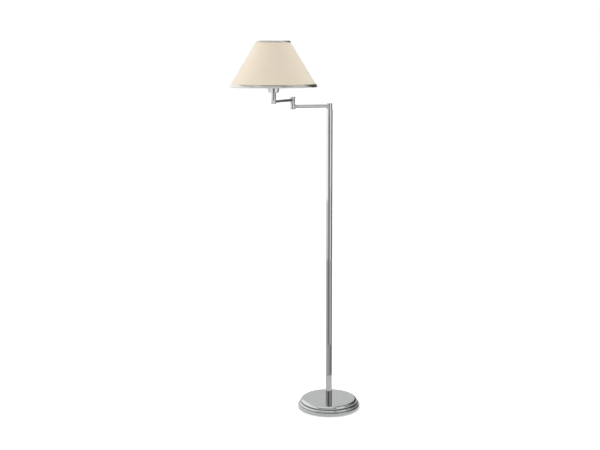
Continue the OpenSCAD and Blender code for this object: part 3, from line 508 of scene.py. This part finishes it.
liningSpec = {
    "thickness": 0.0006,
    "behind": 0.00042,         # the cloth's thickness, and the glue
    "short": 0.0004,           # it ends this far inside both edges
    "lapWidth": 0.010,
    "lapStep": 0.0003,
    "lapSteep": 6,             # the lap rises over a sixth of its width
    "rows": 24,
}


def shadeLining(spec, lining):
    # the white laminate behind the cloth, with its own glued lap
    start = radians(spec["lapTurn"])
    lap = lining["lapWidth"] / spec["bottomRadius"]
    length = slantLength - 2 * lining["short"]

    def spot(side, turn, row):
        up = lining["short"] + length * row / (lining["rows"] - 1)
        if side == 0:
            return slantPoint(up, -lining["behind"])
        step = lining["lapStep"] * smooth((turn - start - tau + lap) / lap * lining["lapSteep"])
        return slantPoint(up, -lining["behind"] - lining["thickness"] - step)

    verts, faces = shellRound(shadeTurns(spec), lining["rows"], spot, True)
    addPiece("shade_lining", verts, faces, "laminate", "second_arm", ["shade_liner"])


rimSpec = {
    "sheet": 0.00035,
    "inside": 0.0018,          # the inside leg stands this far in from the cloth's face
    "insideLeg": 0.0039,
    "drop": 0.0006,            # the rim reaches this far past the shade's edge
    "corner": 0.0004,
    "lip": 0.0005,
    "crown": 0.0002,
    "cornerSteps": 6,
    "rollSteps": 15,
    "crownSteps": 8,
    "gap": 0.0006,             # the joint between the strip's two ends
}
rimSizes = {
    "shade_rim_lower": {"node": "shade_lower_trim", "top": False,
                        "face": 0.011, "roll": 0.0034, "proud": 0.0018},
    "shade_rim_upper": {"node": "shade_upper_trim", "top": True,
                        "face": 0.0064, "roll": 0.0020, "proud": 0.0016},
}


def rimPath(rim, size):
    # the folded strip's outer side, as up and out: from inside the shade, round its edge, up its face
    roll, drop, corner, lip = size["roll"], rim["drop"], rim["corner"], rim["lip"]
    foot = size["proud"] - roll
    leg = min(-rim["inside"], foot - corner)
    path = [(rim["insideLeg"], -rim["inside"])]
    path += [(corner - drop - corner * sin(a), leg + corner - corner * cos(a))
             for a in arc(0, 90, rim["cornerSteps"])]
    path += [(roll - drop - roll * sin(a), foot + roll * cos(a)) for a in arc(90, 0, rim["rollSteps"])]
    low, high = roll - drop, size["face"] - lip
    steps = rim["crownSteps"]
    path += [(low + (high - low) * s, size["proud"] + 4 * rim["crown"] * s * (1 - s))
             for s in (i / steps for i in range(1, steps + 1))]
    path += [(high + lip * sin(a), size["proud"] - lip + lip * cos(a))
             for a in arc(0, 90, rim["cornerSteps"])[1:]]
    return path


def offsetInside(path, depth):
    # the strip's inner side: each point moved in, square to the strip
    moved = []
    for i, point in enumerate(path):
        before, after = Vector(path[max(i - 1, 0)]), Vector(path[min(i + 1, len(path) - 1)])
        along = (after - before).normalized()
        moved.append((point[0] + depth * along.y, point[1] - depth * along.x))
    return moved


def shadeRim(name, rim, size):
    # the silver strip folded over an edge of the shade
    outer = rimPath(rim, size)
    sides = [outer, offsetInside(outer, rim["sheet"])]
    if size["top"]:
        sides = [[(slantLength - up, out) for up, out in reversed(side)] for side in sides]
    half = rim["gap"] / shadeSpec["bottomRadius"] / 2
    start, segments = radians(shadeSpec["lapTurn"]), shadeSpec["segments"]
    turns = [start + half + (tau - 2 * half) * i / segments for i in range(segments + 1)]
    verts, faces = shellRound(turns, len(outer), lambda side, turn, row: slantPoint(*sides[side][row]),
                              False)
    addPiece(name, verts, faces, "trimMetal", "second_arm", [size["node"]])


shadeCloth(shadeSpec, clothSpec)
shadeLining(shadeSpec, liningSpec)
for name, size in rimSizes.items():
    shadeRim(name, rimSpec, size)
print("shade made")

holderSpec = {
    "diameter": 0.039,         # over the thread
    "bore": 0.031,
    "mouth": 0.0139,           # radius of the hole that the bulb's cap goes through
    "shoulderUp": 0.013,
    "shoulderThick": 0.003,
    "topThick": 0.003,
    "round": 0.0005,
    "chamfer": 0.001,
    "pitch": 0.0024,
    "depth": 0.0007,
    "step": 0.0002,
    "columns": 96,
}


def holderSkirt(spec):
    # the moulded skirt: a smooth part below the shoulder, and the shade ring's thread above it
    low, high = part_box("holder_skirt")
    radius, shoulder = spec["diameter"] / 2, (high.x - low.x) / 2
    boreRadius, mouth = spec["bore"] / 2, spec["mouth"]
    under = low.z + spec["shoulderUp"]
    over = under + spec["shoulderThick"]
    threadTop = high.z - spec["chamfer"]
    ceiling = high.z - spec["topThick"]
    edge = spec["round"]
    profile = [(radius, low.z), (radius, under), (shoulder - edge, under), (shoulder, under + edge),
               (shoulder, over - edge), (shoulder - edge, over), (radius, over)]
    steps = int((threadTop - over) / spec["step"])
    profile += [(radius, over + (threadTop - over) * i / steps) for i in range(1, steps + 1)]
    profile += [(radius - spec["chamfer"], high.z), (mouth, high.z), (mouth, ceiling),
                (boreRadius, ceiling), (boreRadius, low.z)]

    def cutThread(r, z, angle):
        if r != radius or z <= over:
            return r
        fade = smooth((z - over) / spec["pitch"]) * smooth((threadTop - z) / spec["pitch"])
        return r - fade * spec["depth"] * (0.5 - 0.5 * cos(tau * z / spec["pitch"] - angle))

    verts, faces = turned(profile, spec["columns"], cutThread)
    addPiece("holder_threaded_skirt", verts, faces, "blackPlastic", "second_arm",
             ["holder_skirt"])


# contactHeight is the dome's own height, and the rest is measured up from the contact's flat side
capSpec = {
    "contactHeight": 0.003,
    "contactRadius": 0.0046,
    "domeSteps": 9,
    "insulatorRadius": 0.0104,
    "insulatorHeight": 0.0046,
    "insulatorWidest": 0.0030,
    "wall": 0.0006,
    "shellFrom": 0.0034,       # the shell starts here outside and widens up to its neck
    "neck": 0.0044,
    "insideFrom": 0.0042,
    "insideNeck": 0.0050,
    "threadFrom": 0.0052,
    "threadTo": 0.0215,
    "pitch": 0.00362,
    "depth": 0.0009,
    "step": 0.0002,
    "columns": 96,
}


def bulbCap(spec):
    # rolled screw shell, dark glass under it, and the centre contact
    low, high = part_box("bulb_cap")
    radius = (high.x - low.x) / 2
    base = low.z + spec["contactHeight"]
    threadFrom, threadTo = base + spec["threadFrom"], base + spec["threadTo"]
    steps = int((threadTo - threadFrom) / spec["step"])
    glass, glassTop = spec["insulatorRadius"], base + spec["insulatorHeight"]
    outer = [(glass, base + spec["shellFrom"]), (radius - spec["depth"], base + spec["neck"])]
    outer += [(radius, threadFrom + (threadTo - threadFrom) * i / steps) for i in range(steps + 1)]
    outer += [(radius, high.z)]
    inner = radius - spec["depth"] - spec["wall"]
    profile = outer + [(radius - spec["wall"], high.z), (inner, threadTo),
                       (inner, base + spec["insideNeck"]), (glass - spec["wall"], base + spec["insideFrom"])]

    def rollThread(r, z, angle):
        if r != radius or z > threadTo:
            return r
        wave = 0.5 - 0.5 * cos(tau * z / spec["pitch"] - angle)
        return r - spec["depth"] * wave * smooth((threadTo - z) / spec["pitch"])

    verts, faces = turned(profile, spec["columns"], rollThread)
    addPiece("bulb_screw_shell", verts, faces, "capMetal", "second_arm", ["bulb_cap"])
    profile = [(0, base), (spec["contactRadius"], base), (glass, base + spec["insulatorWidest"]),
               (glass, glassTop), (0, glassTop)]
    verts, faces = turned(profile, spec["columns"])
    addPiece("bulb_insulator", verts, faces, "blackGlass", "second_arm")
    dome = [(spec["contactRadius"] * sin(a), base - spec["contactHeight"] * cos(a))
            for a in arc(0, 90, spec["domeSteps"])]
    verts, faces = turned(dome + [(0, base)], spec["columns"])
    addPiece("bulb_contact", verts, faces, "brass", "second_arm")


holderSkirt(holderSpec)
bulbCap(capSpec)
print("holder and bulb cap made")

feltSpec = {
    "voxel": 0.0018,
    "fuzz": 0.00018,
    "fuzzScale": 900.0,
}


def feltDisc(spec):
    # the felt under the foot: soft, slightly fuzzy edges, and flat where it stands
    low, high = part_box("felt_pad")
    piece = bpy.data.objects.new("felt_disc", nodes["felt_pad"].data.copy())
    bpy.context.scene.collection.objects.link(piece)
    remesh = piece.modifiers.new("remesh", "REMESH")
    remesh.mode = "VOXEL"
    remesh.voxel_size = spec["voxel"]
    mesh = bpy.data.meshes.new_from_object(piece.evaluated_get(bpy.context.evaluated_depsgraph_get()))
    bpy.data.objects.remove(piece)
    moved = [vertex.co + vertex.normal * spec["fuzz"] * noise.noise(vertex.co * spec["fuzzScale"])
             for vertex in mesh.vertices]
    for point in moved:
        point.z = min(high.z, max(low.z, point.z))
    mesh.vertices.foreach_set("co", [value for point in moved for value in point])
    piece = dress(bpy.data.objects.new("felt_disc", mesh), "felt", "stand", ["felt_pad"])


feltDisc(feltSpec)
print("felt made")

cameraSpec = {
    "turn": -17.2,          # round the lamp, in degrees, from the side that looks along +Y
    "distance": 3.841,
    "height": 1.410,
    "aside": 0.1161,        # how far the pole stands to the right of the view's middle
    "pitch": 9.67,
    "roll": -0.14,
    "lens": 58.8,
}
turn = radians(cameraSpec["turn"])
towardCamera = Vector((sin(turn), -cos(turn), 0))
toRight = Vector((cos(turn), sin(turn), 0))
camera = bpy.data.objects.new("camera", bpy.data.cameras.new("camera"))
bpy.context.scene.collection.objects.link(camera)
camera.data.lens = cameraSpec["lens"]
camera.location = (cameraSpec["distance"] * towardCamera - cameraSpec["aside"] * toRight
                   + Vector((0, 0, cameraSpec["height"])))
tilted = Euler((radians(90 - cameraSpec["pitch"]), 0, turn)).to_matrix()
camera.rotation_euler = (tilted @ Matrix.Rotation(radians(cameraSpec["roll"]), 3, "Z")).to_euler()
bpy.context.scene.camera = camera

studioSpec = {
    "worldLight": 0.53,
    "worldInMetal": 0.75,
    "floorHalf": 30.0,
    "floorDown": 0.0005,       # the floor lies this far under the felt
    "floorColour": 0.8,
    "floorLift": 0.42,
}

# each sun shines to the camera's right by aside, away from the camera by away, and down
suns = {
    "keySun": {"power": 1.58, "aside": 0.9, "away": 0.05, "down": 0.45, "softness": 40},
    "fillSun": {"power": 1.08, "aside": -0.9, "away": 0.05, "down": 0.45, "softness": 40},
    "topSun": {"power": 0.3, "aside": 0, "away": 0, "down": 1, "softness": 60},
}

# upright screens that only the metal sees: degrees from the camera's side, positive to the right
screens = {
    "keyLow": {"from": -150, "to": -44, "distance": 4.0, "low": 0.0, "high": 0.28, "glow": 0.95},
    "keyMiddle": {"from": -150, "to": -44, "distance": 4.0, "low": 0.28, "high": 1.33, "glow": 1.40},
    "keyShade": {"from": -170, "to": -44, "distance": 4.0, "low": 1.33, "high": 1.55, "glow": 0.50},
    "keyHigh": {"from": -170, "to": -60, "distance": 4.0, "low": 1.55, "high": 4.0, "glow": 1.30},
    "frontDark": {"from": -44, "to": -4, "distance": 3.0, "low": 0.0, "high": 1.02, "glow": 0.33},
    "frontGrey": {"from": -4, "to": 30, "distance": 3.0, "low": 0.0, "high": 1.02, "glow": 0.36},
    "frontMiddle": {"from": -44, "to": 30, "distance": 4.0, "low": 0.80, "high": 1.30, "glow": 0.42},
    "frontShade": {"from": -44, "to": 30, "distance": 4.0, "low": 1.30, "high": 1.60, "glow": 0.16},
    "softboxHigh": {"from": 30, "to": 64, "distance": 1.6, "low": 0.7, "high": 1.20, "glow": 1.45},
    "softboxLow": {"from": 30, "to": 68, "distance": 3.0, "low": 0.0, "high": 0.8, "glow": 1.10},
    "rightDark": {"from": 66, "to": 112, "distance": 3.0, "low": 0.0, "high": 1.25, "glow": 0.23},
    "rearDark": {"from": 112, "to": 168, "distance": 3.0, "low": 0.0, "high": 3.0, "glow": 0.10},
}

# the hood over them: low and high are elevations in degrees
hoods = {
    "hoodLow": {"from": -60, "to": 112, "low": 8, "high": 20, "glow": 0.30},
    "hoodFront": {"from": -60, "to": 22, "low": 20, "high": 54, "glow": 1.00},
    "hoodTop": {"from": -52, "to": 46, "low": 54, "high": 70, "glow": 0.42},
    "hoodRight": {"from": 22, "to": 60, "low": 20, "high": 54, "glow": 0.58},
    "hoodFarRight": {"from": 60, "to": 112, "low": 20, "high": 54, "glow": 0.80},
    "hoodRear": {"from": 112, "to": 168, "low": 28, "high": 68, "glow": 0.22},
}

# the floor in the metal: distances in metres, later ones lie on the earlier ones
rugs = {
    "floorInMetal": {"from": -180, "to": 180, "near": 0.0, "far": 5.0, "glow": 0.75},
    "rugFarLeft": {"from": -150, "to": -44, "near": 3.0, "far": 4.0, "glow": 0.90},
    "rugLeft": {"from": -85, "to": -44, "near": 0.42, "far": 3.0, "glow": 0.57},
    "rugFront": {"from": -44, "to": -4, "near": 0.42, "far": 0.9, "glow": 0.50},
    "rugFrontDark": {"from": -44, "to": -4, "near": 0.9, "far": 3.0, "glow": 0.20},
    "rugMiddle": {"from": -4, "to": 30, "near": 0.42, "far": 3.0, "glow": 0.43},
    "rugRightDark": {"from": 30, "to": 78, "near": 0.42, "far": 0.9, "glow": 0.28},
    "rugRight": {"from": 30, "to": 76, "near": 0.9, "far": 3.0, "glow": 0.66},
    "rugFarRight": {"from": 76, "to": 165, "near": 0.42, "far": 3.0, "glow": 0.24},
}

# low panels round the lamp's own axis, for the underside of the rim and for the cup
trays = {
    "rimTray": {"from": -170, "to": 100, "near": 0.15, "far": 0.5, "glow": 1.0},
    "cupTrayLeft": {"from": -150, "to": -12, "near": 0.06, "far": 0.15, "glow": 1.2},
    "cupTrayDark": {"from": -12, "to": 28, "near": 0.06, "far": 0.15, "glow": 0.20},
    "cupTrayRight": {"from": 28, "to": 76, "near": 0.06, "far": 0.15, "glow": 1.2},
}
overhead = {"height": 2.6, "size": 1.0, "glow": 1.25}
screenSpec = {
    "turnStep": 6,             # degrees between the columns of every screen
    "hoodStep": 8,             # degrees between the rows of a hood
    "hoodRadius": 4.0,
    "hoodMiddle": 1.0,
    "rugHeight": -0.0004,
    "rugStep": 0.00003,        # each rug lies this far above the one before it
    "trayHeight": 1.235,
}


def studioWorld(spec):
    # white for the camera and through glass, a little darker in the metal, and plain light on the rest
    world = bpy.data.worlds.new("studio")
    bpy.context.scene.world = world
    world.use_nodes = True
    tree = world.node_tree
    tree.nodes.clear()
    out = tree.nodes.new("ShaderNodeOutputWorld")
    path = tree.nodes.new("ShaderNodeLightPath")
    shades = {}
    strengths = {"seen": 1.0, "metal": spec["worldInMetal"], "light": spec["worldLight"]}
    for name, strength in strengths.items():
        shades[name] = tree.nodes.new("ShaderNodeBackground")
        shades[name].inputs["Color"].default_value = (1, 1, 1, 1)
        shades[name].inputs["Strength"].default_value = strength
    inMetal = tree.nodes.new("ShaderNodeMixShader")
    tree.links.new(path.outputs["Is Glossy Ray"], inMetal.inputs[0])
    tree.links.new(shades["light"].outputs[0], inMetal.inputs[1])
    tree.links.new(shades["metal"].outputs[0], inMetal.inputs[2])
    seen = tree.nodes.new("ShaderNodeMixShader")
    direct = sums(tree, "MAXIMUM", path.outputs["Is Camera Ray"], path.outputs["Is Transmission Ray"])
    tree.links.new(direct, seen.inputs[0])
    tree.links.new(inMetal.outputs[0], seen.inputs[1])
    tree.links.new(shades["seen"].outputs[0], seen.inputs[2])
    tree.links.new(seen.outputs[0], out.inputs[0])


def studioFloor(spec):
    # pale floor: lit as it is, with a lift for the camera, so that it meets the white and keeps the shadow
    half, down = spec["floorHalf"], -spec["floorDown"]
    mesh = bpy.data.meshes.new("floor")
    mesh.from_pydata([(x * half, y * half, down) for x, y in ((-1, -1), (1, -1), (1, 1), (-1, 1))],
                     [], [(0, 1, 2, 3)])
    floor = bpy.data.objects.new("floor", mesh)
    bpy.context.scene.collection.objects.link(floor)
    material = bpy.data.materials.new("paleFloor")
    material.use_nodes = True
    tree = material.node_tree
    tree.nodes.clear()
    out = tree.nodes.new("ShaderNodeOutputMaterial")
    path = tree.nodes.new("ShaderNodeLightPath")
    matt = tree.nodes.new("ShaderNodeBsdfDiffuse")
    matt.inputs["Color"].default_value = (*[spec["floorColour"]] * 3, 1)
    lift = tree.nodes.new("ShaderNodeEmission")
    lift.inputs["Color"].default_value = (1, 1, 1, 1)
    seen = sums(tree, "MULTIPLY", path.outputs["Is Camera Ray"], spec["floorLift"])
    tree.links.new(seen, lift.inputs["Strength"])
    both = tree.nodes.new("ShaderNodeAddShader")
    tree.links.new(matt.outputs[0], both.inputs[0])
    tree.links.new(lift.outputs[0], both.inputs[1])
    tree.links.new(both.outputs[0], out.inputs[0])
    mesh.materials.append(material)


def sunLamp(name, spec):
    # a soft sun that doesn't show in the metal
    lamp = bpy.data.lights.new(name, "SUN")
    lamp.energy = spec["power"]
    lamp.angle = radians(spec["softness"])
    holder = bpy.data.objects.new(name, lamp)
    bpy.context.scene.collection.objects.link(holder)
    aim = spec["aside"] * toRight - spec["away"] * towardCamera - Vector((0, 0, spec["down"]))
    holder.rotation_euler = aim.to_track_quat("-Z", "Y").to_euler()
    holder.visible_glossy = False


def glowing(name, glow):
    # a plain lit surface
    material = bpy.data.materials.new(name)
    material.use_nodes = True
    tree = material.node_tree
    tree.nodes.clear()
    out = tree.nodes.new("ShaderNodeOutputMaterial")
    light = tree.nodes.new("ShaderNodeEmission")
    light.inputs["Strength"].default_value = glow
    tree.links.new(light.outputs[0], out.inputs[0])
    return material


def onlyInMetal(name, rows, glow):
    # a surface between rows of points, which shows in the metal and nowhere else
    count = len(rows[0])
    faces = [(j * count + i, j * count + i + 1, (j + 1) * count + i + 1, (j + 1) * count + i)
             for j in range(len(rows) - 1) for i in range(count - 1)]
    mesh = bpy.data.meshes.new(name)
    mesh.from_pydata([point for row in rows for point in row], [], faces)
    mesh.materials.append(glowing(name, glow))
    screen = bpy.data.objects.new(name, mesh)
    bpy.context.scene.collection.objects.link(screen)
    for ray in ("camera", "diffuse", "transmission", "shadow", "volume_scatter"):
        setattr(screen, "visible_" + ray, False)


def sweep(spec, reach, height, middle=(0, 0)):
    # points round an upright axis from one azimuth to another
    steps = max(1, round((spec["to"] - spec["from"]) / screenSpec["turnStep"]))
    points = []
    for i in range(steps + 1):
        away = turn - pi / 2 + radians(spec["from"] + (spec["to"] - spec["from"]) * i / steps)
        points.append((middle[0] + reach * cos(away), middle[1] + reach * sin(away), height))
    return points


def standScreens():
    # all that the metal mirrors, round the pole and round the lamp's own axis
    for name, spec in screens.items():
        rows = [sweep(spec, spec["distance"], spec[end]) for end in ("low", "high")]
        onlyInMetal(name, rows, spec["glow"])
    radius, middle = screenSpec["hoodRadius"], screenSpec["hoodMiddle"]
    for name, spec in hoods.items():
        tiers = max(1, round((spec["high"] - spec["low"]) / screenSpec["hoodStep"]))
        rows = [sweep(spec, radius * cos(angle), middle + radius * sin(angle))
                for angle in arc(spec["low"], spec["high"], tiers)]
        onlyInMetal(name, rows, spec["glow"])
    for level, (name, spec) in enumerate(rugs.items()):
        height = screenSpec["rugHeight"] + screenSpec["rugStep"] * level
        onlyInMetal(name, [sweep(spec, spec[end], height) for end in ("near", "far")], spec["glow"])
    for name, spec in trays.items():
        rows = [sweep(spec, spec[end], screenSpec["trayHeight"], lampAxis) for end in ("near", "far")]
        onlyInMetal(name, rows, spec["glow"])
    half = overhead["size"] / 2
    onlyInMetal("overheadSoftbox", [[(x * half, y * half, overhead["height"]) for x in (-1, 1)]
                                    for y in (-1, 1)], overhead["glow"])


studioWorld(studioSpec)
standScreens()
studioFloor(studioSpec)
for name, spec in suns.items():
    sunLamp(name, spec)
bpy.context.scene.view_settings.view_transform = "Standard"
print("studio made")
